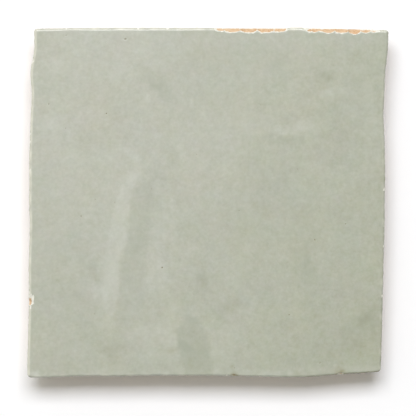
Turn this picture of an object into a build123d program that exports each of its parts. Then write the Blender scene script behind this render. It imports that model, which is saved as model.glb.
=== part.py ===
from build123d import *
from math import cos, exp, radians, sin, tau
import os

# A square hand-cut zellige tile: a fired clay slab, glazed on its wavy face, with four
# sides dressed by hammer so that they run in under the face.
# Millimetres. Z is up, the glazed face looks up, and the back lies on the floor at Z = 0.

# Main sizes
face_width = 102.7  # left to right, between the outermost corners
face_length = 99.4  # bottom to top, between the outermost corners
thickness = 11.0  # from the back to the middle level of the glaze
land = 3.2  # upright band of side under the face, before the side runs in
side_run_in = 2.6  # how far a dressed side has run in under the face at the back
corner_radius = 1.1  # worn corners, seen from above
arris_radius = 0.7  # the glaze rounds over the edge of the face
back_edge = 0.4  # broken edge around the back

# The tile is cut by eye, so each corner is off the true square by this much, as (x, y).
# Corners and sides run anticlockwise from the bottom left corner and the bottom side.
corner_slips = [(0.0, 0.0), (-2.2, 1.6), (0.0, -0.6), (1.9, -0.2)]

# How far each side swells past the straight line between its corners, at even steps. The
# top side wanders less, so it has half as many steps.
side_swells = [
    [0.12, -0.1, -0.12, 0.05, 0.03, 0.05, 0.17, 0.27, 0.44, 0.6, 0.89, 1.13, 1.05, 0.6, 0.33],
    [0.05, 0.07, 0.07, 0.07, 0.06, 0.09, 0.14, 0.0, -0.01, -0.22, -0.5, -0.9, -0.8, -0.66, -0.13],
    [0.3, 0.38, 0.4, 0.4, 0.38, 0.33, 0.25],
    [-0.12, 0.78, 0.31, 0.47, 0.58, 0.66, 0.47, 0.45, 0.14, 0.17, 0.24, 0.07, 0.0, 0.03, 0.09],
]

# The face is wavy: long swells from the hand-pressed slab, then single ridges and dips.
swell_height = 0.2
swell_length = 68.0
edge_drop = 0.35  # how far the face has sunk where it meets the sides
# Each ridge or dip: x, y, half length, half width, direction in degrees, height
ridges = [
    (-24.0, -9.0, 24.0, 6.0, 77, 0.2),
    (-16.5, -12.0, 22.0, 6.0, 82, -0.18),
    (-3.5, -42.0, 12.0, 6.0, 100, 0.12),
    (24.0, 14.0, 20.0, 12.0, 120, 0.2),
    (51.0, -50.0, 26.0, 20.0, 135, -0.6),
]
face_step = 5.5  # spacing of the points that the wavy face is drawn through

# Hammer blows that dress a side below its land, each leaving a long shallow hollow
blow_pitch = 10.5
blow_radius = 28.0
blow_depth = 0.55

# Flakes struck off the edge of the face, one list a side: distance from the side's middle
# on towards its far corner, length and depth of the bite, and how many degrees up from
# level it was struck from
side_flakes = [
    [(7.3, 1.8, 0.6, 40), (38.0, 3.0, 0.65, 45)],
    [],
    [
        (-47.6, 5.0, 0.62, 45),
        (-44.6, 5.0, 0.75, 50),
        (-41.4, 4.6, 1.3, 52),
        (-37.7, 6.0, 0.95, 55),
        (-33.5, 7.5, 0.9, 52),
        (-29.6, 6.0, 0.85, 52),
        (-19.6, 6.0, 0.8, 52),
        (-15.6, 8.0, 0.95, 52),
        (-10.8, 9.0, 1.0, 52),
        (-6.0, 7.5, 0.95, 52),
        (-2.8, 5.0, 0.8, 50),
    ],
    [(27.5, 5.2, 0.5, 72), (28.1, 2.2, 0.75, 40)],
]

sides = range(4)
slope_height = thickness - land


def face_height(x, y):
    """Height of the glazed face over the floor."""
    swell = sin(tau * x / swell_length + 0.7) * cos(tau * y / swell_length - 0.4)
    height = thickness + swell_height * swell
    for ridge_x, ridge_y, half_length, half_width, direction, rise in ridges:
        turn = radians(direction)
        along = (x - ridge_x) * cos(turn) + (y - ridge_y) * sin(turn)
        across = (y - ridge_y) * cos(turn) - (x - ridge_x) * sin(turn)
        height += rise * exp(-((along / half_length) ** 2) - (across / half_width) ** 2)
    nearness_to_sides = (2 * x / face_width) ** 8 + (2 * y / face_length) ** 8
    return height - edge_drop * nearness_to_sides


def wavy_face():
    """The glazed face as one smooth sheet, reaching past the sides all round."""
    reach = max(face_width, face_length) / 2 + 2 * face_step
    steps = round(2 * reach / face_step)
    places = [reach * (2 * step / steps - 1) for step in range(steps + 1)]
    grid = [[(x, y, face_height(x, y)) for y in places] for x in places]
    # cubic throughout, so that the sheet has no crease that the rounded edge would catch on
    return Face.make_surface_from_array_of_points(grid, min_deg=3)


def corner(number, inset):
    """A corner of the outline, before it is worn round."""
    across, up = [(-1, -1), (1, -1), (1, 1), (-1, 1)][number % 4]
    slip_x, slip_y = corner_slips[number % 4]
    x = across * (face_width / 2 - inset) + slip_x
    y = up * (face_length / 2 - inset) + slip_y
    return Vector(x, y)


def side_curve(side, inset):
    """One wandering side of the outline, from its corner to the next one."""
    start, end = corner(side, inset), corner(side + 1, inset)
    outwards = (end - start).normalized().rotate(Axis.Z, -90)
    steps = len(side_swells[side]) + 1
    points = [start]
    for step, swell in enumerate(side_swells[side], 1):
        points.append(start + (end - start) * (step / steps) + outwards * swell)
    with BuildLine() as curve:
        Spline(*points, end)
    return curve.edge()


def outline(inset):
    """Draws the four sides and the worn corners into the sketch that is open."""
    make_face([side_curve(side, inset) for side in sides])


def blow_places(side):
    """Planes for the hammer blows of a side, each at the middle of what the blow takes."""
    curve = side_curve(side, 0)
    blows = round(curve.length / blow_pitch)
    planes = []
    for blow in range(blows):
        # no two blows fall alike, so the spacing and the depth wander a little
        place = (blow + 0.5 + 0.16 * sin(2.4 * blow + 1.3 * side)) / blows
        depth = blow_depth * (0.8 + 0.2 * cos(1.9 * blow + side))
        along = curve % place
        outwards = along.rotate(Axis.Z, -90)
        up_slope = (outwards * side_run_in + Vector(0, 0, slope_height)).normalized()
        off_slope = along.cross(up_slope)
        shoulder_point = curve @ place + Vector(0, 0, slope_height)
        slope_middle = shoulder_point - up_slope * (slope_height / 2)
        centre = slope_middle + off_slope * (blow_radius - depth)
        planes.append(Plane(origin=centre, x_dir=along, z_dir=up_slope))
    return planes


def flake_centre(side, distance, tilt_degrees, stand_off):
    """The point that far off the edge of the face, up along the tilt of the blow."""
    curve = side_curve(side, 0)
    place = 0.5 + distance / curve.length
    edge = curve @ place
    outwards = (curve % place).rotate(Axis.Z, -90)
    tilt = radians(tilt_degrees)
    off_edge = outwards * cos(tilt) + Vector(0, 0, sin(tilt))
    return edge + Vector(0, 0, face_height(edge.X, edge.Y)) + off_edge * stand_off


with BuildPart() as tile:
    # The slab: a smaller back, running out to the shoulder, then upright past the face
    with BuildSketch(Plane.XY) as back:
        outline(side_run_in)
        fillet(back.vertices(), corner_radius)
    with BuildSketch(Plane.XY.offset(slope_height)) as shoulder:
        outline(0)
        fillet(shoulder.vertices(), corner_radius)
    with BuildSketch(Plane.XY.offset(thickness + land)) as above_face:
        outline(0)
        fillet(above_face.vertices(), corner_radius)
    loft(ruled=True)

    # The face: the slab is cut along the wavy sheet, and its edge is rounded by the glaze
    split(bisect_by=wavy_face(), keep=Keep.BOTTOM)
    glazed_face = tile.faces().sort_by(Axis.Z)[-1]
    fillet(glazed_face.edges(), arris_radius)
    back_face = tile.faces().sort_by(Axis.Z)[0]
    chamfer(back_face.edges(), back_edge)

    # The dressed sides: each blow of the hammer hollows the slope from the back to the land
    for side in sides:
        for blow_place in blow_places(side):
            with Locations(blow_place):
                Cylinder(blow_radius, 4 * thickness, mode=Mode.SUBTRACT)

    # The flakes: each is a shallow shell-shaped break, so a large ball takes it off the edge
    for side in sides:
        for distance, length, depth, tilt_degrees in side_flakes[side]:
            flake_radius = (length**2 / 4 + depth**2) / (2 * depth)
            with Locations(flake_centre(side, distance, tilt_degrees, flake_radius - depth)):
                Sphere(flake_radius, mode=Mode.SUBTRACT)

tile.part.label = "zellige_tile"
os.makedirs("parts", exist_ok=True)
export_step(tile.part, "parts/zellige_tile.step")

box = tile.part.bounding_box()
print(f"size {box.size.X:.2f} x {box.size.Y:.2f} x {box.size.Z:.2f} mm")
print(f"middle at {box.center().X:.2f}, {box.center().Y:.2f} mm")
print(f"volume {tile.part.volume / 1000:.1f} cm3, {len(tile.solids())} solid, valid {tile.part.is_valid}")
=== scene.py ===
# %% [markdown]
# # A hand-cut glazed tile, from a plain block
# The object is one fired clay tile. Its face is covered with a glossy sage green glaze, its
# sides are dressed by hammer, and a few flakes are off its edge. It could be a slab with a
# skin of glaze laid over it, but the kiln fuses the two, so it is made here as one mesh: a
# finely cut block that is bent, step by step, in the order in which the maker works. A tile
# has no parts to put together, so all its character is in how its surface departs from a
# block. The script works in millimetres and turns to metres at the end.

# %% Load the frame
import math
import random

import bmesh
import bpy
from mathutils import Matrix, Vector, noise


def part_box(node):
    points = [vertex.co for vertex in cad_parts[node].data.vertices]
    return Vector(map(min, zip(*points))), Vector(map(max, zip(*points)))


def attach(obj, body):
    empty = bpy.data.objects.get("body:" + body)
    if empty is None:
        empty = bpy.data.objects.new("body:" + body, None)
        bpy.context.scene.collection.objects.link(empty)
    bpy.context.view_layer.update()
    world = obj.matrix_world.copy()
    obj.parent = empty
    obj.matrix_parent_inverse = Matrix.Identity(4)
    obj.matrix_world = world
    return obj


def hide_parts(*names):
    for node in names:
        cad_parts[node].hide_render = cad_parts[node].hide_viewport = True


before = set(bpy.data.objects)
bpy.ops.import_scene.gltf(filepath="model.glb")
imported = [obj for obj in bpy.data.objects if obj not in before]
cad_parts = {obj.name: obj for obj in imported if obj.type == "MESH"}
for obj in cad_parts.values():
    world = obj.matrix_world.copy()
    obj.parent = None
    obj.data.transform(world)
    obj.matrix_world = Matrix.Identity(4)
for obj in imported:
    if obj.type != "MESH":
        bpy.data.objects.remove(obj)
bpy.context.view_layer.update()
MM = 0.001
tile_low, tile_high = (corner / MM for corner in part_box("zellige_tile"))
print("the packed tile is", [round(span, 2) for span in tile_high - tile_low], "mm")

# %% [markdown]
# ## The sizes of the tile
# These are the sizes that the solid model was made with. The maker cuts by eye, so every
# corner has slipped a little off the true square and every side wanders. The outline could
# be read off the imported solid, but a few named sizes are easier to follow and to change.
# Sides run anticlockwise: bottom, right, top, left. Each side is a list of how far it stands
# out from the straight line between its corners, at even steps.

# %% Sizes, in millimetres
face_width, face_length, thickness = 102.7, 99.4, 11.0
land = 3.2  # upright band of side under the face
run_in = 2.6  # how far a side has run in under the face at the back
corner_radius = 1.1
arris_radius = 0.7  # how the glaze rounds over the edge of the face
back_radius = 0.5
slope_height = thickness - land

corner_slips = [(0.0, 0.0), (-2.2, 1.6), (0.0, -0.6), (1.9, -0.2)]
side_swells = [
    [0.12, -0.1, -0.12, 0.05, 0.03, 0.05, 0.17, 0.27, 0.44, 0.6, 0.89, 1.13, 1.05, 0.6, 0.33],
    [0.05, 0.07, 0.07, 0.07, 0.06, 0.09, 0.14, 0.0, -0.01, -0.22, -0.5, -0.9, -0.8, -0.66, -0.13],
    [0.3, 0.38, 0.4, 0.4, 0.38, 0.33, 0.25],
    [-0.12, 0.78, 0.31, 0.47, 0.58, 0.66, 0.47, 0.45, 0.14, 0.17, 0.24, 0.07, 0.0, 0.03, 0.09],
]
half_width, half_length = face_width / 2, face_length / 2
print(f"nominal tile {face_width} x {face_length} x {thickness} mm")

# %% [markdown]
# ## The waves of the face
# The slab is pressed and beaten by hand, so the face rolls in long swells, with single
# ridges and dips where a thumb or a tool went. These waves are what makes such tiles shine
# unevenly on a wall. They could be sculpted, but a formula can be read and changed: each
# ridge is a smooth hill drawn out in one direction.

# %% Smooth steps and hills


def smooth_between(low, high, value):
    """0 below low, 1 above high, and a smooth step between. With high below low, it falls."""
    share = min(max((value - low) / (high - low), 0.0), 1.0)
    return share * share * (3 - 2 * share)


def blend(start, end, share):
    """The value at a share of the way from start to end."""
    return start + (end - start) * share


def hill(x, y, place):
    """How much of a long smooth hill stands at a point, from 0 to 1."""
    hill_x, hill_y, reach_along, reach_across, direction = place
    turn = math.radians(direction)
    along = (x - hill_x) * math.cos(turn) + (y - hill_y) * math.sin(turn)
    across = (y - hill_y) * math.cos(turn) - (x - hill_x) * math.sin(turn)
    return math.exp(-((along / reach_along) ** 2) - (across / reach_across) ** 2)


print("half way up a smooth step:", smooth_between(0, 1, 0.5))

# %% Ridges and dips
swell_height, swell_length = 0.2, 68.0
edge_drop = 0.35  # how far the face has sunk where it meets the sides
# x, y, half length, half width, direction in degrees, height
ridges = [
    (-24.0, -9.0, 24.0, 6.0, 77, 0.2),
    (-16.5, -12.0, 22.0, 6.0, 82, -0.18),
    (-3.5, -42.0, 12.0, 6.0, 100, 0.12),
    (24.0, 14.0, 20.0, 12.0, 120, 0.2),
    (51.0, -50.0, 26.0, 20.0, 135, -0.6),
]


def face_rise(x, y):
    """How far the glazed face stands over its middle level."""
    turns = math.tau / swell_length
    rise = swell_height * math.sin(turns * x + 0.7) * math.cos(turns * y - 0.4)
    rise += sum(ridge[5] * hill(x, y, ridge[:5]) for ridge in ridges)
    return rise - edge_drop * ((x / half_width) ** 8 + (y / half_length) ** 8)


print("the face rises", round(face_rise(-24.0, -9.0), 2), "mm on the long ridge")

# %% [markdown]
# ## A fold and a run
# Two marks on the left of the face are sharper than the waves. One is a low fold, where the
# soft clay was creased: its crest is a line, and its two flanks slope like a tent. The other
# is a run, a tongue of thick glaze that slid to the bottom edge. Both could be cut in as
# edges of the mesh, but they fade out at their ends, so each follows a path of a few points,
# and one helper tells where a point of the face lies beside a path.

# %% The fold and the run
# x, y, rise of the crest, reach of the left flank, reach of the right flank
fold = [
    (-17.0, 13.5, 0.0, 2.5, 4.0),
    (-18.6, 8.0, 0.06, 3.2, 4.5),
    (-21.2, 3.0, 0.11, 4.0, 6.0),
    (-22.3, -2.0, 0.13, 4.5, 6.5),
    (-22.6, -10.0, 0.13, 5.5, 6.0),
    (-24.6, -16.0, 0.13, 5.0, 7.0),
    (-25.2, -25.0, 0.12, 5.0, 7.5),
    (-25.8, -30.0, 0.09, 4.0, 7.0),
    (-26.2, -36.5, 0.0, 2.0, 5.0),
]
fold_top = max(rise for x, y, rise, left_reach, right_reach in fold)
# x, y, half width
run = [
    (-6.0, -32.6, 1.3),
    (-5.2, -33.8, 2.6),
    (-5.1, -35.5, 3.5),
    (-4.8, -38.0, 4.1),
    (-4.3, -40.5, 4.4),
    (-3.6, -43.0, 4.1),
    (-2.6, -46.0, 3.8),
    (-2.2, -51.0, 3.8),
]
run_height = 0.1
print("the crest of the fold is", fold_top, "mm high and the run", run_height)

# %% A helper for paths


def beside(x, y, path):
    """How far right of a path a point lies, going down it, and the values of the path there."""
    best = None
    for (x0, y0, *values0), (x1, y1, *values1) in zip(path, path[1:]):
        step_x, step_y = x1 - x0, y1 - y0
        share = ((x - x0) * step_x + (y - y0) * step_y) / (step_x**2 + step_y**2)
        share = min(max(share, 0.0), 1.0)
        off_x, off_y = x - x0 - share * step_x, y - y0 - share * step_y
        away = math.hypot(off_x, off_y)
        if best is None or away < best[0]:
            is_right = off_x * step_y - off_y * step_x < 0
            values = [a + (b - a) * share for a, b in zip(values0, values1)]
            best = (away, 1 if is_right else -1, values)
    away, way, values = best
    return away * way, values


print("beside the fold at (-20, -8):", beside(-20, -8, fold))

# %% [markdown]
# ## Where the glaze is thick and thin
# This glaze darkens and turns greener where it pools, and pales where it is thin. Besides
# the fold and the run, smudges and pale patches are scattered on the face. They could be
# painted on a picture, but then the pattern would be fixed to one size of picture. Each is a
# soft hill again, this time not of height but of thickness. Iron in the clay has also come
# up through the glaze in a few places, so brown stains are kept in the same way. Two of the
# brown spots sit in nicks of the bottom edge, where they are partly clay and partly painted
# shade of the nick.

# %% Smudges, thick and thin
# x, y, half length, half width, direction in degrees, thickness (below 0 for thin)
smudges = [
    (33.6, 35.6, 2.2, 1.8, 140, 0.9),
    (-1.8, -22.5, 2.4, 1.9, 90, 0.6),
    (45.0, -32.8, 2.8, 2.1, 60, 0.6),
    (43.5, -34.5, 6.5, 4.5, 40, 0.35),
    (19.6, 18.3, 1.5, 0.9, 0, 0.5),
    (22.0, 18.1, 7.5, 0.9, 178, 0.6),
    (23.0, 20.6, 7.0, 1.5, 4, -0.5),
    (26.5, 22.0, 3.0, 1.0, 20, -0.3),
    (28.2, -17.0, 7.0, 2.2, 90, 0.65),
    (28.8, -28.5, 2.6, 1.8, 60, 0.3),
    (32.5, -18.5, 4.0, 1.4, 90, -0.3),
    (-13.5, 32.5, 4.2, 2.2, 140, 0.75),
    (48.3, 32.0, 2.6, 1.2, 90, 0.5),
    (19.0, 38.5, 4.5, 3.0, 20, 0.3),
    (6.5, -29.0, 2.8, 1.8, 20, 0.35),
    (-7.5, -40.4, 1.3, 1.0, 20, 1.05),
    (-5.6, -41.6, 1.2, 0.9, 60, 0.85),
    (-0.9, -41.0, 1.3, 0.9, 90, 0.45),
    (-8.2, -37.0, 3.0, 0.7, 80, 0.3),
    (-4.0, -33.6, 1.8, 1.0, 160, 0.3),
    (-4.6, -39.2, 1.6, 0.9, 100, -0.25),
    (10.0, -6.0, 3.0, 5.0, 110, 0.2),
    (20.0, 0.0, 16.0, 9.0, 110, 0.2),
    (35.5, 31.5, 4.0, 1.6, 10, -0.4),
    (-42.0, 39.0, 3.5, 2.0, 0, -0.4),
    (-44.0, 22.0, 3.0, 1.8, 160, -0.35),
    (-20.3, 12.2, 1.8, 1.0, 130, -0.6),
    (-23.4, 14.8, 3.2, 0.9, 140, -0.4),
    (-21.5, 6.8, 2.6, 1.0, 20, -0.35),
    (-24.6, 3.4, 1.2, 0.9, 60, -0.4),
    (-7.4, 14.0, 5.0, 1.0, 112, -0.4),
    (-16.5, 25.0, 2.2, 1.4, 120, -0.3),
    (-17.0, 29.5, 2.6, 1.0, 100, -0.45),
    (-10.5, -40.0, 5.5, 2.2, 95, -0.35),
    (4.3, -39.0, 5.0, 2.6, 60, -0.25),
    (-19.0, -37.5, 7.5, 3.2, 10, -0.3),
    (-30.0, -26.0, 3.0, 2.4, 150, -0.45),
    (-27.5, -20.5, 2.6, 1.8, 80, -0.25),
    (-14.5, -20.0, 12.0, 2.4, 88, -0.22),
    (24.5, 34.0, 2.5, 0.9, 30, -0.3),
    (-33.0, 24.5, 4.0, 1.0, 20, -0.25),
    (-33.4, -13.0, 10.0, 2.0, 84, 0.16),
    (-41.0, -22.0, 26.0, 11.0, 90, 0.25),
    (2.0, 33.0, 24.0, 15.0, 165, 0.2),
    (47.0, 25.0, 13.0, 6.0, 90, -0.3),
    (-18.0, -43.5, 7.0, 3.0, 0, -0.25),
    (-36.0, -33.0, 3.0, 1.6, 150, 0.4),
    (-28.5, -41.5, 4.5, 2.0, 10, 0.35),
    (0.0, -48.8, 90.0, 1.8, 1, -0.3),
    (0.0, 48.6, 90.0, 1.6, 0, 0.2),
    (-48.8, -49.0, 1.6, 0.9, 0, -0.9),
]
print(len(smudges), "smudges and pale patches")

# %% Brown stains, and painted shade in two nicks
# x, y, half length, half width, direction in degrees, strength
stains_and_nick_shade = [
    (45.0, -32.8, 2.6, 1.9, 60, 0.11),
    (43.6, -35.5, 6.5, 4.0, 40, 0.05),
    (43.5, -41.0, 4.5, 2.0, 0, 0.08),
    (38.5, -38.0, 2.6, 1.5, 120, 0.04),
    (-5.2, -45.2, 1.3, 1.1, 70, 0.16),
    (-10.6, -41.8, 1.4, 0.8, 20, 0.3),
    (7.3, -46.8, 1.0, 0.8, 0, 0.3),
    # the next two are painted shade in nicks of the bottom edge, partly over the clay that the nicks
    # show
    (7.4, -49.1, 1.0, 0.8, 0, 0.9),
    (37.7, -48.1, 1.3, 0.8, 0, 0.85),
    (-1.8, -22.5, 2.0, 1.5, 90, 0.14),
    (8.0, -28.8, 1.6, 0.9, 60, 0.14),
    (5.4, -29.6, 1.4, 0.8, 120, 0.14),
    (33.6, 35.6, 1.8, 1.4, 0, 0.16),
    (31.5, -32.3, 1.2, 0.8, 150, 0.2),
    (-32.5, -20.5, 2.4, 1.0, 120, 0.2),
    (-28.0, -42.0, 4.0, 1.4, 10, 0.12),
]
print(len(stains_and_nick_shade), "stains_and_nick_shade")

# %% [markdown]
# ## From marks to numbers
# A mark with a clean edge looks drawn, and glaze is never that tidy. So a sway bends every
# edge a little to and fro, and a cloud makes every mark patchy. Random numbers could do it,
# but they jump from point to point. Smooth noise doesn't, and gives the same values each
# time.

# %% A helper for noise on the face


def face_noise(x, y, width, length, seed):
    """Smooth noise on the face, from about -1 to 1, with bumps of one width and length."""
    return noise.noise(Vector((x / width, y / length, seed)))


print("noise at two near points:", [round(face_noise(x, 0, 4, 4, 3), 2) for x in (1, 1.1)])

# %% The fold and the run at a point
# the right flank is darker, partly pooled glaze and partly painted shade, and the left paler, partly
# thin glaze and partly painted highlight
right_flank_pool_and_shade, left_flank_thin_and_highlight = 0.42, -0.33  # it pools on the right flank of the fold
crest_rounding = 0.5
run_glaze = 0.6
run_edge = 0.35  # half the width of the run's soft edge


def flank(away, reach):
    """The height of a tent's flank, from 1 at the crest to 0 at its reach."""
    soft_away = math.sqrt(away**2 + crest_rounding**2) - crest_rounding
    return max(1 - soft_away / reach, 0.0)


def fold_at(x, y, sway):
    """The height that the fold gives a point, and the thickness of glaze, which darkens the right flank
    and pales the left, partly as painted shade and highlight.
    """
    away, (rise, left_reach, right_reach) = beside(x + sway, y, fold)
    reach = right_reach if away > 0 else left_reach
    glaze = right_flank_pool_and_shade if away > 0 else left_flank_thin_and_highlight
    away = abs(away)
    inside = smooth_between(1.08, 0.88, away / reach)
    patchy = 1.0 + 0.7 * face_noise(x, y, 2.2, 2.8, 21)
    thick = rise / fold_top * inside * patchy * glaze * smooth_between(0.0, 0.6, away)
    return rise * flank(away, reach), thick


def run_at(x, y, sway):
    """How much of a point the run covers, from 0 to 1, and how thick its glaze is there."""
    away, (half_run,) = beside(x + 0.9 * sway, y, run)
    covered = smooth_between(run_edge, -run_edge, abs(away) - half_run)
    return covered, run_glaze + 0.3 * face_noise(x, y, 1.8, 2.8, 17)


print("height and glaze on the crest of the fold:", fold_at(-22.5, -6.0, 0.0))
print("cover and glaze in the run:", run_at(-4.3, -40.5, 0.0))

# %% All marks at a point
# how far the noise bends an edge, the size of its bumps, and where in the noise it starts
sways = [(0.4, 4, 3), (0.3, 1.4, 6)]
patchiness, patch_size, patch_seed = 1.1, 1.7, 12
smudge_sway, stain_sway = 2.5, 2  # how much more than the fold the soft marks sway


def soft_marks(x, y, marks):
    """How strongly the smudges or the stains show at a point."""
    return sum(mark[5] * hill(x, y, mark[:5]) for mark in marks)


def marks_at(x, y):
    """The extra height, the thickness of glaze, and the brown of iron and of painted nick shade at a
    point of the face.
    """
    sway = sum(reach * face_noise(x, y, size, size, seed) for reach, size, seed in sways)
    cloud = 1.0 + patchiness * face_noise(x, y, patch_size, patch_size, patch_seed)
    height, thick = fold_at(x, y, sway)
    covered, covering_glaze = run_at(x, y, sway)
    height += run_height * covered
    thick = blend(thick, covering_glaze, covered)
    thick += cloud * soft_marks(x + smudge_sway * sway, y - smudge_sway * sway, smudges)
    stain_and_nick_shade = cloud * soft_marks(x + stain_sway * sway, y - stain_sway * sway, stains_and_nick_shade)
    return height, thick, stain_and_nick_shade


print("height, glaze and stain on the run:", marks_at(-4.3, -40.5))

# %% [markdown]
# ## What is broken off the edge
# Hard glaze chips when the sides are struck. A chip is a shallow shell-shaped break, so each
# is taken off by a large ball that only grazes the edge. A Boolean could cut them, but it
# leaves long thin faces behind, so the points are pushed to the ball instead. The big ones
# are placed where the photograph shows them. A scatter of tiny nicks runs all round, because
# no struck edge is clean. The seed is fixed, so that the tile comes out the same each time.

# %% Flakes and nicks
# side, distance from the side's middle on towards its far corner, length, depth, tilt
flakes = [
    (0, 8.6, 1.8, 0.6, 40),
    (0, 39.6, 2.4, 0.65, 45),
    (2, -47.6, 5.0, 0.62, 45),
    (2, -44.6, 5.0, 0.75, 50),
    (2, -41.4, 4.6, 1.3, 52),
    (2, -37.7, 6.0, 0.95, 55),
    (2, -33.5, 7.5, 0.9, 52),
    (2, -29.6, 6.0, 0.85, 52),
    (2, -19.6, 6.0, 0.8, 52),
    (2, -15.6, 8.0, 0.95, 52),
    (2, -10.8, 9.0, 1.0, 52),
    (2, -6.0, 7.5, 0.95, 52),
    (2, -2.8, 5.0, 0.8, 50),
    (3, 27.9, 4.8, 0.36, 82),
    (3, 28.1, 2.6, 0.95, 30),
    (3, 26.5, 2.2, 0.42, 50),
    (3, 23.4, 5.0, 0.3, 45),
    (3, 20.1, 1.7, 0.27, 60),
]
big_flakes = list(flakes)
NICKS, NICK_TILT, NICK_REACH = 56, 50, 46
chance = random.Random(7)
for nick in range(NICKS):
    side, along = chance.randrange(4), chance.uniform(-NICK_REACH, NICK_REACH)
    length, depth = chance.uniform(0.7, 2.4), chance.uniform(0.3, 0.5)
    # the bottom and the right side were struck more cleanly, so most of theirs are left out
    if side > 1 or nick % 3 == 0:
        flakes.append((side, along, length, depth, NICK_TILT))
print(len(big_flakes), "flakes and", len(flakes) - len(big_flakes), "nicks")

# %% [markdown]
# ## The block
# The tile starts as a slab of raw clay. A cube is cut into rows along X, then Y, then Z. Its
# rows are then drawn closer together towards the edges, where the shape changes fast, and
# left wide in the middle of the face, which is smooth. After that, the band along the edge
# is cut once more, and the stretches with flakes twice. Even rows would do too, but cutting
# only where there is something to show keeps the mesh light.

# %% Cut the block
ROWS_ACROSS, ROWS_DOWN = 134, 22
CROWDING = 0.4  # 0 leaves the rows of the face even, 1 crowds them at the edges
GATHERING = 1.3  # 1 leaves the rows of the sides even, above 1 they gather under the face


def edges_along(mesh, axis):
    """The edges of a block that run along one axis."""
    found = []
    for edge in mesh.edges:
        step = edge.verts[1].co - edge.verts[0].co
        step[axis] = 0
        if step.length < 1e-6:
            found.append(edge)
    return found


def crowd(place):
    """Moves a place from -1 to 1 towards the nearer end."""
    return (1 - CROWDING) * place + CROWDING * math.sin(math.pi / 2 * place)


block = bmesh.new()
bmesh.ops.create_cube(block, size=2)
for axis, rows in enumerate((ROWS_ACROSS, ROWS_ACROSS, ROWS_DOWN)):
    edges = edges_along(block, axis)
    bmesh.ops.subdivide_edges(block, edges=edges, cuts=rows - 1, use_grid_fill=True)
for vert in block.verts:
    x, y, z = vert.co
    down = ((1 - z) / 2) ** GATHERING
    vert.co = (half_width * crowd(x), half_length * crowd(y), thickness * (1 - down))
print("block of", len(block.faces), "faces")

# %% [markdown]
# The rim, the land and the slope of the real tile all follow its edge, so each point of the
# block has to know where it lies beside that edge. It could be measured from a drawn curve,
# but the block is still square here, and two distances are enough: how far a point is
# inwards from the outline, and how far it is down from the face. The nearest side and the
# distance along it then place the flakes.

# %% Where a point lies
OUTWARDS = [Vector((0, -1)), Vector((1, 0)), Vector((0, 1)), Vector((-1, 0))]


def nearest_side(x, y):
    """The side nearest to a point, how far inwards the point is, and how far along."""
    inwards = [half_length + y, half_width - x, half_length - y, half_width + x]
    side = min(range(4), key=lambda number: inwards[number])
    return side, inwards[side], [x, y, -x, -y][side]


print("side, inwards and along at (-50, 27):", nearest_side(-50, 27))

# %% Cut the edge finer
edge_band_in, edge_band_down = 2.6, 3.4
flake_band, flake_margin = 2.2, 0.6


def cut_finer(mesh, is_wanted, *values):
    """Cuts every face once more whose middle is wanted."""
    faces = [face for face in mesh.faces if is_wanted(face.calc_center_median(), *values)]
    edges = list(dict.fromkeys(edge for face in faces for edge in face.edges))
    bmesh.ops.subdivide_edges(mesh, edges=edges, cuts=1, use_grid_fill=True)


def on_edge_band(point):
    """Whether a point lies along the edge of the face."""
    side, inwards, along = nearest_side(point.x, point.y)
    return inwards < edge_band_in and thickness - point.z < edge_band_down


def on_flake(point):
    """Whether a point lies on one of the big flakes."""
    here, inwards, along = nearest_side(point.x, point.y)
    if inwards > flake_band or thickness - point.z > flake_band:
        return False
    return any(
        side == here and abs(middle - along) < length / 2 + flake_margin
        for side, middle, length, depth, tilt in big_flakes
    )


cut_finer(block, on_edge_band)
cut_finer(block, on_flake)
print("after cutting finer,", len(block.faces), "faces")

# %% [markdown]
# ## Pinholes
# Gas bubbles burst in the molten glaze and leave pits. A bump in the finish would do from
# afar, but a real pit is also part of the mesh. Each pit gets a small patch of finer mesh,
# so that it can be pressed in as real shape.

# %% Places of the pinholes
# x, y, radius, depth
pinholes = [
    (-23.4, 46.5, 0.42, 0.12),
    (-13.0, -18.4, 0.34, 0.1),
    (-36.0, -3.8, 0.26, 0.08),
    (-40.3, 47.5, 0.28, 0.08),
    (-45.2, 28.0, 0.26, 0.08),
    (-28.8, 25.3, 0.28, 0.08),
    (30.3, -10.5, 0.3, 0.08),
    (31.6, -45.5, 0.28, 0.08),
    (7.5, -46.8, 0.3, 0.1),
    (35.8, -46.2, 0.26, 0.08),
    (39.0, -6.0, 0.24, 0.08),
]
SMALL_PINHOLES, SMALL_DEPTH = 14, 0.06
ACROSS_REACH, UP_REACH = 46, 44
for pit in range(SMALL_PINHOLES):
    x, y = chance.uniform(-ACROSS_REACH, ACROSS_REACH), chance.uniform(-UP_REACH, UP_REACH)
    pinholes.append((x, y, chance.uniform(0.12, 0.2), SMALL_DEPTH))
print(len(pinholes), "pinholes")

# %% Finer patches for the pinholes
PATCHES = (1.6, 1.0, 0.7)  # half widths, one inside the other


def near_pinhole(point, reach):
    """Whether a point of the flat face lies in the patch of a pinhole."""
    if point.z < thickness - 0.01:
        return False
    return any(abs(point.x - x) < reach and abs(point.y - y) < reach for x, y, *size in pinholes)


for reach in PATCHES:
    cut_finer(block, near_pinhole, reach)
# where a fine patch meets a coarse one, faces with many corners are left
many_cornered = [face for face in block.faces if len(face.verts) > 4]
bmesh.ops.triangulate(block, faces=many_cornered, quad_method="BEAUTY", ngon_method="BEAUTY")
print("with the patches,", len(block.faces), "faces")

# %% [markdown]
# ## Bending the block into the tile
# Every point of the block now moves to its place on the tile. Corners and edges are rounded
# by pressing a square corner into a quarter circle. The sides run in below the land and
# wander with the hand of the cutter. The face takes its waves. A Bevel modifier could round
# the edges, but here the radius changes along the edge, as glaze does.

# %% A helper for round corners


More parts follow.
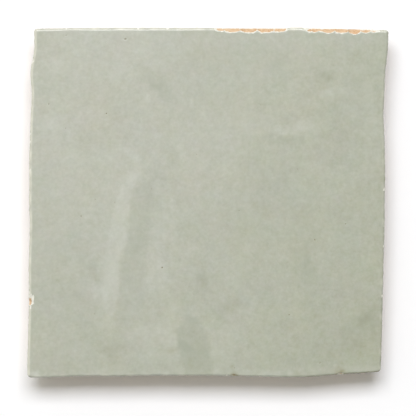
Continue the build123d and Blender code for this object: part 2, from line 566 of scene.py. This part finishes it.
def rounded(first, second, radius):
    """Presses a point near a square corner, at two distances from it, into a quarter circle."""
    if first >= radius or second >= radius:
        return first, second
    a, b = 1 - first / radius, 1 - second / radius
    round_a, round_b = a * math.sqrt(1 - b * b / 2), b * math.sqrt(1 - a * a / 2)
    return radius * (1 - round_a), radius * (1 - round_b)


print("a square corner of 1 mm goes to", [round(part, 2) for part in rounded(0, 0, 1)])

# %% Wandering sides


def swell_at(side, share):
    """How far a side stands out at a share of its length, through its measured swells."""
    values = [0.0, *side_swells[side], 0.0]
    stretch = min(max(share, 0.0), 1.0) * (len(values) - 1)
    step = min(int(stretch), len(values) - 2)
    t = stretch - step
    here, there = values[step], values[step + 1]
    before, after = values[max(step - 1, 0)], values[min(step + 2, len(values) - 1)]
    bend = 2 * before - 5 * here + 4 * there - after
    twist = 3 * (here - there) + after - before
    return here + 0.5 * t * (there - before + t * (bend + t * twist))


def wander(x, y):
    """How far a point has slipped from the true square, as the corners and sides have."""
    across, up = x / face_width + 0.5, y / face_length + 0.5
    low_left, low_right, high_right, high_left = corner_slips
    left = blend(low_left[0], high_left[0], up) - swell_at(3, 1 - up)
    right = blend(low_right[0], high_right[0], up) + swell_at(1, up)
    bottom = blend(low_left[1], low_right[1], across) - swell_at(0, across)
    top = blend(high_left[1], high_right[1], across) + swell_at(2, 1 - across)
    return Vector((blend(left, right, across), blend(bottom, top, up)))


print("the top side stands out", round(swell_at(2, 0.5), 2), "mm at its middle")

# %% [markdown]
# The hammer strikes the sides from the back upwards. Each blow leaves a long shallow hollow
# that runs up the slope and dies out in the land. Between two blows a ridge is left. The
# solid model cuts each blow with a cylinder. Here the depth of that same cylinder is worked
# out for a point and taken off it, so that no new edges have to be joined to the block.

# %% Hammer blows
blow_pitch, blow_radius, blow_depth = 10.5, 28.0, 0.55
slope_angle = math.atan2(run_in, slope_height)


def blow_cut(side, along):
    """How deep the blows have cut a side at a distance along it."""
    blows = round(face_length / blow_pitch)
    deepest = 0.0
    for blow in range(-1, blows + 1):
        # no two blows fall alike, so the spacing and the depth wander a little
        place = (blow + 0.5 + 0.16 * math.sin(2.4 * blow + 1.3 * side)) / blows
        depth = blow_depth * (0.8 + 0.2 * math.cos(1.9 * blow + side))
        off_middle = along - (place - 0.5) * face_length
        deepest = max(deepest, depth - off_middle**2 / (2 * blow_radius))
    return deepest


print("a blow cuts up to", round(max(blow_cut(0, along) for along in range(-40, 40)), 2), "mm")

# %% [markdown]
# The glaze runs over the edge and down the sides, further on some sides than on others, and
# it drips. Along the rim of the face it is thin and pale on most sides, paler still on the top
# and left sides as painted highlight, and dark at the right of the bottom side, partly where
# glaze gathered and partly as painted shade. The cut edge itself is ragged in small bites,
# with one nib left on it.
# All this could be painted on by hand, but it only depends on the side and on how far along
# it a point lies, so noise along the edge gives it, and never repeats.

# %% Glaze down the sides
glaze_runs = [2.3, 4.6, 2.0, 2.6]  # how far the glaze has run down each side
drip_length, drip_rarity = 6, 0.35
SIDE_APART = 110  # keeps the noise of one side off that of the next


def side_noise(side, along, size, seed):
    """Smooth noise along the edge, from about -1 to 1, with bumps of one size."""
    return noise.noise(Vector((along / size, side, seed)))


def glaze_limit(side, along):
    """How far down a side the glaze has run, with a drip here and there."""
    turn = along + SIDE_APART * side
    limit = glaze_runs[side]
    limit += 0.9 * side_noise(side, turn, 9, 0) + 0.5 * side_noise(side, turn, 2.2, 5)
    return limit + drip_length * max(side_noise(side, turn, 6, 9) - drip_rarity, 0)


print("the glaze runs down the right side by", round(glaze_limit(1, 0.0), 1), "mm")

# %% The rim and the cut edge
# where along the bottom side the dark rim, partly gathered glaze and partly painted shade, begins and
# is full
dark_rim_begins, dark_rim_full = 16, 44  # along the bottom side
bite_depth, edge_margin = 0.1, 0.05
nib_side, nib_place, nib_half_width, nib_height = 2, -24.5, 2.3, 0.3


def rim_tone_and_painted_light(side, along):
    """How the edge band of the face shows: above 0 pale, where the glaze is thin and, on the top and
    left, as painted highlight; below 0 dark, partly gathered glaze and partly painted shade.
    """
    bottom_tone = 0.12 - 0.8 * smooth_between(dark_rim_begins, dark_rim_full, along)
    # pale as painted highlight on the top and left, and on the bottom darker to the right as painted
    # shade, partly gathered glaze
    tones = [bottom_tone, 0.05, 0.5, 0.65]
    return tones[side] + 0.5 * side_noise(side, along, 2.5, 14)


def ragged(side, along):
    """How far the cut edge falls back from its smooth line."""
    turn = along + SIDE_APART * side
    bites = side_noise(side, turn, 1.3, 31) + 0.6 * side_noise(side, turn, 0.5, 33)
    on_nib = math.exp(-(((along - nib_place) / nib_half_width) ** 2)) if side == nib_side else 0.0
    return edge_margin + bite_depth * bites - nib_height * on_nib


print("at the nib, the top edge falls back by", round(ragged(nib_side, nib_place), 2), "mm")

# %% [markdown]
# Three more helpers move a point as one step of the making does: wearing a corner of the
# outline, rounding the edges of face and back, and dressing a side. Each could be a pass
# over the whole mesh of its own, but all of them need the place that the point had on the
# square block, so they are kept as helpers for one pass.

# %% Worn corners


def worn_corner(x, y, side, inwards):
    """Wears a corner round: the new place, how far inwards it is, and the way out."""
    outwards = OUTWARDS[side]
    from_x, from_y = half_width - abs(x), half_length - abs(y)
    new_x, new_y = rounded(from_x, from_y, corner_radius)
    if (new_x, new_y) == (from_x, from_y):
        return x, y, inwards, outwards
    spoke_x = math.copysign(corner_radius - new_x, x)
    spoke_y = math.copysign(corner_radius - new_y, y)
    spoke = Vector((spoke_x, spoke_y))
    if spoke.length > 0:
        outwards = spoke.normalized()
    x, y = math.copysign(half_width - new_x, x), math.copysign(half_length - new_y, y)
    return x, y, corner_radius - spoke.length, outwards


print("the corner goes to", [round(part, 2) for part in worn_corner(half_width, half_length, 1, 0)[:2]])

# %% Rounded edges
arris_unevenness = 0.25  # the share by which the rounded edge grows and shrinks


def grain(x, y, z, size, seed):
    """Smooth noise between about -1 and 1, with bumps of one size in millimetres."""
    return noise.noise(Vector((x + seed, y - seed, z + 2 * seed)) / size)


def rounded_edges(x, y, z, inwards):
    """Rounds the edges of face and back: the new height, and the shift inwards."""
    down = thickness - z
    radius = arris_radius * (1 + arris_unevenness * grain(x, y, 0, 6, 3))
    face_in, face_down = rounded(inwards, down, radius)
    back_in, back_up = rounded(inwards, z, back_radius)
    shift_in = (face_in - inwards) + (back_in - inwards)
    return z - (face_down - down) + (back_up - z), shift_in


print("the edge of the face sinks to", round(rounded_edges(0, half_length, thickness, 0)[0], 2), "mm")

# %% Dressed sides
blows_end = thickness - 0.8  # no blow reaches higher
blow_reach = 6  # how far in from the side a blow still moves the clay


def dressed(side, along, z):
    """How far a side has run in at a height, and how much deeper the blows have gone."""
    inset = run_in * min(max(1 - z / slope_height, 0.0), 1.0)
    cut = blow_cut(side, along) / math.cos(slope_angle)
    hollow = -inset - ((z - slope_height) * math.tan(slope_angle) - cut)
    return inset, max(hollow, 0.0) if z < blows_end else 0.0


print("run in, and hollow, half way down the slope:", dressed(0, 0.0, slope_height / 2))

# %% [markdown]
# While each point moves, a few facts are written on it for the finishes to read later: how
# far over the edge it is, whether glaze reaches it, how thick the glaze pools there, and how
# deep a break or a pit is. A finish could work them out again from its coordinates, but as
# attributes of the mesh, a number for each point, they follow the shape exactly.

# %% Bend the block
FACTS = ("over_edge", "broken", "glazed", "thick", "stain_and_nick_shade", "pit", "rim_glaze_and_painted_light")
fact = {name: block.verts.layers.float.new(name) for name in FACTS}
bites_end_in, bites_fade, bites_end_down = 1.2, 1.5, 4.0  # where the ragged edge smooths out
waves_begin = 0.3 * thickness  # below this height, the waves of the face don't move the clay

for vert in block.verts:
    x, y, z = vert.co
    side, inwards, along = nearest_side(x, y)
    down, is_back = thickness - z, z < 0.001
    x, y, inwards, outwards = worn_corner(x, y, side, inwards)
    over_edge = down + inwards if is_back else down - inwards

    z, shift_in = rounded_edges(x, y, z, inwards)
    bitten = smooth_between(bites_end_in, 0.0, inwards)
    bitten *= smooth_between(bites_end_down, bites_fade, down)
    inset, hollow = dressed(side, along, z)
    shift_in += ragged(side, along) * bitten + hollow * max(1 - inwards / blow_reach, 0.0)
    x, y = x * (1 - inset / half_width), y * (1 - inset / half_length)
    x, y = x - outwards.x * shift_in, y - outwards.y * shift_in

    slip = wander(x, y)
    x, y = x + slip.x, y + slip.y
    extra, thick, stain_and_nick_shade = marks_at(x, y) if down < 1 else (0.0, 0.0, 0.0)
    z += (face_rise(x, y) + extra) * smooth_between(waves_begin, thickness, z)

    vert.co = (x, y, z)
    vert[fact["over_edge"]] = over_edge
    vert[fact["glazed"]] = glaze_limit(side, along) - over_edge
    vert[fact["rim_glaze_and_painted_light"]] = rim_tone_and_painted_light(side, along)
    vert[fact["thick"]] = thick
    vert[fact["stain_and_nick_shade"]] = stain_and_nick_shade
print("bent", len(block.verts), "points")

# %% [markdown]
# The flakes come off once the tile has its shape, as they do on the bench. A point that lies
# inside a ball is pushed to the ball's skin. The skin could be left smooth, but clay doesn't
# break clean, so two layers of bumps roughen it, a coarse one and a fine one.

# %% Balls for the flakes


def edge_place(side, along):
    """The point of the finished edge at a distance along a side."""
    ways = [(along, -half_length), (half_width, along), (-along, half_length), (-half_width, -along)]
    x, y = ways[side]
    slip = wander(x, y)
    x, y = x + slip.x, y + slip.y
    return Vector((x, y, thickness + face_rise(x, y)))


balls = []
for side, along, length, depth, tilt in flakes:
    radius = (length**2 / 4 + depth**2) / (2 * depth)
    edge, angle = edge_place(side, along), math.radians(tilt)
    off_edge = Vector((*(OUTWARDS[side] * math.cos(angle)), math.sin(angle)))
    balls.append((edge, length, edge + off_edge * (radius - depth), radius))
print(len(balls), "balls, the largest of", round(max(ball[3] for ball in balls), 1), "mm radius")

# %% Strike off the flakes
flakes_end = 3.2  # no flake reaches further, in from the edge or down the side
ball_margin = 2.5  # past half its length, a flake doesn't reach further than this
full_roughness = 4  # the breaks of flakes shorter than this are smoother
# depth and size of the bumps on a break, and where in the noise they start
break_bumps = [(0.16, 1.1, 5), (0.1, 0.45, 8)]

for vert in block.verts:
    if abs(vert[fact["over_edge"]]) >= flakes_end:
        continue
    for edge, length, centre, radius in balls:
        if (vert.co - edge).length > 0.5 * length + ball_margin:
            continue
        rough = sum(depth * grain(*vert.co, size, seed) for depth, size, seed in break_bumps)
        arm = vert.co - centre
        bite = radius + rough * min(length / full_roughness, 1) - arm.length
        if bite > 0:
            vert.co = centre + arm * ((arm.length + bite) / arm.length)
            vert[fact["broken"]] += bite
print(sum(vert[fact["broken"]] > 0 for vert in block.verts), "points on flakes")

# %% [markdown]
# ## Bare clay
# Below the glaze the clay is open-grained. Its points are moved in by the thickness of the
# glaze and by fine noise, always inwards, so that the tile keeps its size. A Displace
# modifier with a group of bare points could do it, but the points are at hand here, and a
# plain loop shows what happens to them. The back dried lying on a board, which pressed most
# of its pores shut, so it stays flat on the floor.

# %% Roughen the clay
glaze_thickness, pore_depth, pore_size = 0.12, 0.22, 2.6
glaze_end = 0.4  # how softly the glaze ends
back_flatness = 0.35  # the share of the pores that the board pressed shut

block.normal_update()
for vert in block.verts:
    glazed = vert[fact["glazed"]]
    if glazed < 0:
        coarse = 0.5 + 0.5 * noise.fractal(vert.co / pore_size, 0.8, 2.1, 4)
        bare = smooth_between(0.0, glaze_end, -glazed)
        on_side = smooth_between(0.0, 1.0, vert.co.z)
        pores = min(max(coarse - back_flatness * (1 - on_side), 0.0), 1.0)
        vert.co -= vert.normal * bare * (glaze_thickness * on_side + pore_depth * pores)
print(sum(vert[fact["glazed"]] < 0 for vert in block.verts), "points of bare clay")

# %% Press in the pinholes
rim_width = 1.5  # no pinhole is nearer to the edge of the face
PIT_REACH, PIT_STEEPNESS = 2.2, 2  # how many radii a pit reaches, and how steep its wall is

for vert in block.verts:
    if vert[fact["over_edge"]] >= -rim_width:
        continue
    for pit_x, pit_y, radius, depth in pinholes:
        away = math.hypot(vert.co.x - pit_x, vert.co.y - pit_y)
        if away < PIT_REACH * radius:
            pit = math.exp(-((away / radius) ** 2) * PIT_STEEPNESS)
            vert.co.z -= depth * pit
            vert[fact["pit"]] = max(vert[fact["pit"]], pit)
print(sum(vert[fact["pit"]] > 0 for vert in block.verts), "points in pinholes")

# %% [markdown]
# ## From block to tile
# The finished mesh stays inside the box of the solid model, is turned to metres, and becomes
# one object that takes the place of the solid. Sharp edges could be marked on it, but smooth
# shading is right all over, because even the breaks are made of fine faces.

# %% Make the tile an object
for vert in block.verts:
    for axis in range(3):
        vert.co[axis] = min(max(vert.co[axis], tile_low[axis]), tile_high[axis])
bmesh.ops.scale(block, vec=(MM, MM, MM), verts=block.verts)
bmesh.ops.recalc_face_normals(block, faces=block.faces)
for face in block.faces:
    face.smooth = True
tile_mesh = bpy.data.meshes.new("glazed_tile")
block.to_mesh(tile_mesh)
block.free()
tile = bpy.data.objects.new("glazed_tile", tile_mesh)
bpy.context.collection.objects.link(tile)
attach(tile, "root")
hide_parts("zellige_tile")
triangles = sum(len(polygon.vertices) - 2 for polygon in tile_mesh.polygons)
print("tile of", triangles, "triangles")

# %% [markdown]
# ## Nodes, shortly
# A finish is a tree of shader nodes. They are usually wired by hand in the node editor. This
# small helper adds a node, sets its plain inputs and links the others, so that a finish
# reads as a list of steps from top to bottom.

# %% A helper for node trees


class Nodes:
    """The node tree of a material or a world, with short ways to add to it."""

    def __init__(self, owner):
        owner.use_nodes = True
        self.tree = owner.node_tree
        self.tree.nodes.clear()

    def feed(self, socket, value):
        """Links a socket to another one, or sets it to a plain value."""
        if isinstance(value, bpy.types.NodeSocket):
            self.tree.links.new(value, socket)
        else:
            socket.default_value = value

    def add(self, kind, *numbered, settings=None, **named):
        """Adds a node. Its inputs are given in their order or by name, with _ for a space."""
        node = self.tree.nodes.new("ShaderNode" + kind)
        for setting, value in (settings or {}).items():
            setattr(node, setting, value)
        for number, value in enumerate(numbered):
            self.feed(node.inputs[number], value)
        for name, value in named.items():
            self.feed(node.inputs[name.replace("_", " ")], value)
        return node

    def math(self, operation, *values, clamp=False):
        settings = {"operation": operation, "use_clamp": clamp}
        return self.add("Math", *values, settings=settings).outputs[0]

    def vector_math(self, operation, *values):
        return self.add("VectorMath", *values, settings={"operation": operation})

    def share(self, value, low, high, start=0.0, end=1.0, smooth=False):
        """Start where a value is low, end where it is high, and between in proportion."""
        settings = {"interpolation_type": "SMOOTHSTEP" if smooth else "LINEAR"}
        return self.add("MapRange", value, low, high, start, end, settings=settings).outputs[0]

    def smooth(self, value, low, high, start=0.0, end=1.0):
        """The same with a smooth start and end."""
        return self.share(value, low, high, start, end, smooth=True)


print("helper ready")

# %% [markdown]
# A material needs a few helpers more. One reads a fact that was written on the points, one
# makes a cloudy pattern of a given size, and two colour the surface, by a share or by a
# pattern. The last takes a colour as it reads on a screen, because that is how a maker
# matches a glaze, and turns it into the numbers that a shader works with.

# %% A helper for surfaces


class Finish(Nodes):
    """A material, and short ways to colour it."""

    def __init__(self, name):
        self.material = bpy.data.materials.new(name)
        super().__init__(self.material)

    def fact(self, name):
        """A fact that was written on the points."""
        return self.add("Attribute", settings={"attribute_name": name}).outputs["Fac"]

    def noise(self, where, size, detail=2.0, roughness=0.5):
        """A cloudy pattern from about 0 to 1, with clouds of one size in millimetres."""
        values = {"Vector": where, "Scale": 1 / size, "Detail": detail, "Roughness": roughness}
        return self.add("TexNoise", **values).outputs["Fac"]

    def mix(self, share, first, second):
        """The first colour where the share is 0, and the second where it is 1."""
        node = self.add("Mix", share, settings={"data_type": "RGBA"})
        self.feed(node.inputs[6], first)
        self.feed(node.inputs[7], second)
        return node.outputs[2]

    def tinted(self, base, pattern, tint):
        """Adds a tint to a colour where a pattern is over its middle, and takes it off below."""
        off_middle = self.math("SUBTRACT", pattern, 0.5)
        return self.vector_math("MULTIPLY_ADD", off_middle, tint, base).outputs[0]


print("helper ready")

# %% A helper for colours


def colour(red, green, blue):
    """A colour as read off a screen, from 0 to 255, as the linear colour that a shader takes."""
    linear = []
    for part in (red / 255, green / 255, blue / 255):
        linear.append(part / 12.92 if part <= 0.04045 else ((part + 0.055) / 1.055) ** 2.4)
    return (*linear, 1.0)


print("middle grey is", round(colour(128, 128, 128)[0], 3))

# %% [markdown]
# ## The colour of the glaze
# One material serves the whole tile, because on the real one the glaze and the clay are
# fused. A picture of glaze could be laid on it, but nodes stay sharp at any size, and each
# can be changed. It is built up as the eye meets it: first the glaze, pale sage at the upper
# left and deeper at the lower right, partly where it is thicker and partly as painted shade
# where the light from the upper left falls off, and deeper in the outer parts of the face.

# %% Pale to deep
SAGE_PALE, SAGE_DEEP = colour(186.5, 188, 173.5), colour(158.5, 163.5, 138)
outer_deepening = 0.08 / 50**2  # adds 0.08 of the deep colour 50 mm from the middle

fired = Finish("glazed_clay")
here = fired.add("TexCoord").outputs["Object"]
place = fired.add("Mapping", Vector=here, Scale=(1 / MM,) * 3).outputs[0]
axes = fired.add("SeparateXYZ", place).outputs
# the glaze deepens towards the lower right, partly thicker glaze and partly painted shade where the
# light falls off
pool_and_painted_shade_lean = fired.math("SUBTRACT", axes["X"], fired.math("MULTIPLY", axes["Y"], 0.6))
from_middle = fired.vector_math("DOT_PRODUCT", place, place).outputs["Value"]
outer = fired.math("MULTIPLY", from_middle, outer_deepening)
deep = fired.math("ADD", fired.smooth(pool_and_painted_shade_lean, -60, 62, -0.04, 0.43), outer, clamp=True)
sage = fired.mix(deep, SAGE_PALE, SAGE_DEEP)
print("pale sage", [round(part, 2) for part in SAGE_PALE])
print("deep sage", [round(part, 2) for part in SAGE_DEEP])

# %% [markdown]
# No glaze is even. It drifts between paler and darker, between warmer and cooler, and
# between greener and purpler, each in clouds of several sizes. Mixing in a second colour
# would drift one way only. Each tint here is a direction in which this glaze drifts, and is
# added to the colour in one place and taken off it in another.

# %% Clouds
PALE, WARM = Vector((0.55, 0.53, 0.58)), Vector((0.55, 0.36, -0.68))
GREEN = Vector((-0.63, 0.77, -0.09))
# where the pattern starts, the size of its clouds, detail, roughness, and what it tints
clouds = [
    ((0, 0, 0), 15, 3, 0.6, PALE * 0.1),
    ((31, 17, 5), 12, 3, 0.6, WARM * 0.045),
    ((-23, 41, 9), 10, 3, 0.6, GREEN * 0.028),
    ((7, -35, 3), 5, 3, 0.65, PALE * 0.13),
    ((44, 12, 7), 2.5, 4, 0.8, WARM * 0.045),
    ((-12, -50, 11), 2, 4, 0.8, GREEN * 0.035),
    ((0, 60, 0), 1.7, 3, 0.7, PALE * 0.25),
    ((60, 0, 0), 0.9, 2, 0.5, PALE * 0.11),
]
for start, size, detail, rough, tint in clouds:
    shifted = fired.add("Mapping", Vector=place, Location=start).outputs[0]
    sage = fired.tinted(sage, fired.noise(shifted, size, detail, rough), tint)
print(len(clouds), "patterns of clouds")

# %% [markdown]
# Then come the marks: thick and thin glaze, and the dark dots of the pinholes. The rim of the
# face shows pale where the glaze drew back from the edge, paler on the top and left sides as
# painted highlight, and dark just below the edge, partly where the glaze gathered and partly
# as painted shade. A mask could be painted for each of them, but all of them are facts that
# were written on the points, so the colour sits where the shape is.

# %% Thick, thin, pits and rim
GLAZE_THICK, GLAZE_THIN, PIT = colour(157, 163, 145), colour(210, 212, 202), colour(118, 108, 80)
RIM_PALE_AND_HIGHLIGHT, RIM_DARK_AND_SHADE = colour(222, 221, 204), colour(128, 124, 95)

thick, pit, rim_glaze_and_painted_light, over_edge = (fired.fact(name) for name in ("thick", "pit", "rim_glaze_and_painted_light", "over_edge"))
# thick and thin glaze; on the flanks of the fold, partly painted shade and highlight
sage = fired.mix(fired.share(thick, 0.0, 1.2, 0.0, 0.6), sage, GLAZE_THICK)
sage = fired.mix(fired.share(thick, 0.0, -1.0, 0.0, 0.5), sage, GLAZE_THIN)
sage = fired.mix(fired.smooth(pit, 0.1, 0.8, 0.0, 0.75), sage, PIT)

above_side = fired.smooth(over_edge, 1.8, 0.6)
pale_band = fired.math("MULTIPLY", fired.smooth(over_edge, -1.1, -0.4), above_side)
dark_band = fired.math("MULTIPLY", fired.smooth(over_edge, -0.5, 0.1), above_side)
dark_rim_and_painted_shade = fired.math("MULTIPLY", rim_glaze_and_painted_light, -1)
# the pale rim is thin glaze and, on the top and left, painted highlight; the dark rim is partly
# gathered glaze and partly painted shade
sage = fired.mix(fired.math("MULTIPLY", pale_band, rim_glaze_and_painted_light, clamp=True), sage, RIM_PALE_AND_HIGHLIGHT)
sage = fired.mix(fired.math("MULTIPLY", dark_band, dark_rim_and_painted_shade, clamp=True), sage, RIM_DARK_AND_SHADE)
print("marks and rim on the glaze")

# %% [markdown]
# ## The clay and the breaks
# The clay is a sandy orange with paler grains. Below the land it is dusty from the bench.
# Where the glaze is just broken through, its own thickness shows as an almost white line.
# Deeper in, the break shows clay. The faces of a break could get a material of their own,
# but then the limit would follow the edges of the mesh. The depth of the break, with a fine
# noise added, gives a limit as ragged as the real one.

# %% Clay
CLAY_DARK, CLAY_LIGHT = colour(203, 163, 122), colour(226, 196, 160)
CLAY_GRAIN, CLAY_DUST = colour(238, 218, 190), colour(206, 190, 168)

clay_patches, clay_grains = fired.noise(place, 1.6, 4, 0.6), fired.noise(place, 0.3, 3, 0.6)
clay = fired.mix(fired.smooth(clay_patches, 0.3, 0.7), CLAY_DARK, CLAY_LIGHT)
clay = fired.mix(fired.smooth(clay_grains, 0.45, 0.75, 0.0, 0.5), clay, CLAY_GRAIN)
clay = fired.mix(fired.smooth(axes["Z"], 9.8, 6.0, 0.0, 0.6), clay, CLAY_DUST)
print("dark clay", [round(part, 2) for part in CLAY_DARK])
print("light clay", [round(part, 2) for part in CLAY_LIGHT])

# %% Breaks, stains and painted nick shade
# the stain colour also paints the shade of two nicks in the bottom edge
BROKEN_GLAZE, STAIN_AND_NICK_SHADE = colour(232, 231, 219), colour(140, 134, 96)
raggedness = 0.35

ragged_line = fired.math("SUBTRACT", fired.noise(place, 0.5, 3), 0.5)
ragged_line = fired.math("MULTIPLY", ragged_line, raggedness)
broken, glazed = fired.fact("broken"), fired.fact("glazed")
ragged_break = fired.math("MULTIPLY", ragged_line, fired.smooth(broken, 0.0, 0.1))
break_depth = fired.math("ADD", broken, ragged_break)
is_broken = fired.smooth(break_depth, 0.02, 0.06)
is_clay_break = fired.smooth(break_depth, 0.24, 0.34)
is_bare = fired.smooth(fired.math("ADD", glazed, ragged_line), 0.05, -0.05)
skin = fired.mix(is_broken, sage, BROKEN_GLAZE)
skin = fired.mix(fired.math("MAXIMUM", is_clay_break, is_bare), skin, clay)
# brown stains, and the painted shade of two nicks in the bottom edge
skin = fired.mix(fired.share(fired.fact("stain_and_nick_shade"), 0.0, 1.0), skin, STAIN_AND_NICK_SHADE)
print("breaks and stains over glaze and clay")

# %% [markdown]
# ## Gloss
# The glaze is glossy, and the breaks, the clay and the pits are matt. Two shaders could be
# blended, but one with a roughness that changes over the tile is simpler. The glaze has a
# faint orange peel, far below what a mesh can carry, so it is a bump. So is the finest grain
# of the clay.

# %% Gloss and bump
GLAZE_ROUGHNESS, CLAY_ROUGHNESS = 0.17, 0.85
PEEL_DEPTH, GRAIN_DEPTH = 0.02 * MM, 0.12 * MM

rough_share = fired.math("MAXIMUM", is_broken, is_bare)
matt = fired.math("MAXIMUM", rough_share, fired.smooth(pit, 0.02, 0.2))
roughness = fired.add("Mix", Factor=matt, A=GLAZE_ROUGHNESS, B=CLAY_ROUGHNESS).outputs[0]
peel = fired.add("Bump", Strength=1.0, Distance=PEEL_DEPTH, Height=fired.noise(place, 3.2, 2, 0.4))
bump = {"Strength": rough_share, "Distance": GRAIN_DEPTH, "Height": clay_grains}
bumps = fired.add("Bump", Normal=peel.outputs[0], **bump)
shader = fired.add("BsdfPrincipled", Base_Color=skin, Roughness=roughness, Normal=bumps.outputs[0])
fired.add("OutputMaterial", Surface=shader.outputs[0])
tile_mesh.materials.append(fired.material)
print("finish of", len(fired.tree.nodes), "nodes")

# %% [markdown]
# ## Floor
# The tile lies on white paper. Paper that is lit by a plain lamp renders a little grey. More
# light would bleach the tile too, so the paper gets a faint glow instead, which only the
# camera sees, straight or in the gloss of the glaze. The shadow stays on it.

# %% What the camera sees


def in_view(nodes):
    """1 for what the camera sees, straight or in gloss or glass, and 0 for mere light."""
    rays = nodes.add("LightPath").outputs
    seen = rays["Is Camera Ray"]
    for way in ("Is Glossy Ray", "Is Transmission Ray"):
        seen = nodes.math("MAXIMUM", seen, rays[way])
    return seen


print("helper ready")

# %% Floor
FLOOR_HALF_WIDTH = 3.0
PAPER, PAPER_GLOW = (0.95, 0.95, 0.95, 1), 0.06

floor_mesh = bpy.data.meshes.new("floor")
sheet = bmesh.new()
bmesh.ops.create_grid(sheet, x_segments=1, y_segments=1, size=FLOOR_HALF_WIDTH)
sheet.to_mesh(floor_mesh)
sheet.free()
floor = bpy.data.objects.new("floor", floor_mesh)
bpy.context.collection.objects.link(floor)
white = Finish("floor_white")
paper = white.add("BsdfDiffuse", Color=PAPER).outputs[0]
glow = white.add("Emission", Strength=PAPER_GLOW).outputs[0]
glowing_paper = white.add("AddShader", paper, glow).outputs[0]
cover = white.add("MixShader", in_view(white), paper, glowing_paper).outputs[0]
white.add("OutputMaterial", Surface=cover)
floor_mesh.materials.append(white.material)
print("floor of", 2 * FLOOR_HALF_WIDTH, "m")

# %% [markdown]
# ## Light
# A broad lamp high behind the top edge gives the soft shadow below the bottom edge. The rest
# is a dim room of a warm white, a little brighter towards a window at the upper left, so
# that the shadow is not black. The camera and the gloss see that room as plain white.

# %% Room
TOWARDS_WINDOW = Vector((-0.42, 0.42, 0.8)).normalized()
ROOM_LIGHT, WINDOW_LIGHT, WINDOW_FOCUS = 0.2, 0.95, 6.0
ROOM_WHITE, BACKDROP_WHITE = (1.0, 1.0, 0.9, 1), (1.0, 1.0, 1.0, 1)

world = bpy.data.worlds.new("white_room")
bpy.context.scene.world = world
room = Nodes(world)
direction = room.add("TexCoord").outputs["Generated"]
facing = room.vector_math("DOT_PRODUCT", direction, TOWARDS_WINDOW).outputs["Value"]
window = room.math("POWER", facing, WINDOW_FOCUS, clamp=True)
strength = room.math("MULTIPLY_ADD", window, WINDOW_LIGHT, ROOM_LIGHT)
light = room.add("Background", Color=ROOM_WHITE, Strength=strength).outputs[0]
backdrop = room.add("Background", Color=BACKDROP_WHITE, Strength=1.0).outputs[0]
both = room.add("MixShader", in_view(room), light, backdrop).outputs[0]
room.add("OutputWorld", Surface=both)
print("room of", ROOM_LIGHT, "with a window of", WINDOW_LIGHT, "more")

# %% Lamp
LAMP_PLACE = Vector((-0.06, 0.98, 1.92))
LAMP_WIDTH, LAMP_LENGTH, LAMP_POWER = 1.5, 0.9, 36.0
LAMP_COLOUR = (0.99, 0.99, 1.06)

lamp_light = bpy.data.lights.new("softbox", "AREA")
lamp_light.shape = "RECTANGLE"
lamp_light.size, lamp_light.size_y = LAMP_WIDTH, LAMP_LENGTH
lamp_light.color = LAMP_COLOUR
lamp_light.energy = LAMP_POWER
lamp = bpy.data.objects.new("softbox", lamp_light)
lamp.location = LAMP_PLACE
lamp.rotation_euler = (-LAMP_PLACE).to_track_quat("-Z", "Y").to_euler()
lamp.visible_camera = False
bpy.context.collection.objects.link(lamp)
print("lamp", round(LAMP_PLACE.length, 2), "m away")

# %% [markdown]
# ## Camera
# The photograph looks straight down. The lens is worked out from the width of floor that the
# picture shows, so the camera can hang high, where it sees the tile without slant. Its
# middle is a little below that of the tile, to leave room for the shadow.

# %% Camera
VIEW_WIDTH, CAMERA_HEIGHT, VIEW_MIDDLE = 118 * MM, 0.9, -1.5 * MM
SENSOR = 36

camera_data = bpy.data.cameras.new("camera")
camera_data.sensor_width = SENSOR
camera_data.lens = SENSOR * (CAMERA_HEIGHT - thickness * MM) / VIEW_WIDTH
camera = bpy.data.objects.new("camera", camera_data)
camera.location = (0, VIEW_MIDDLE, CAMERA_HEIGHT)
bpy.context.collection.objects.link(camera)
bpy.context.scene.camera = camera
bpy.context.scene.view_settings.view_transform = "Standard"
print("lens of", round(camera_data.lens), "mm")
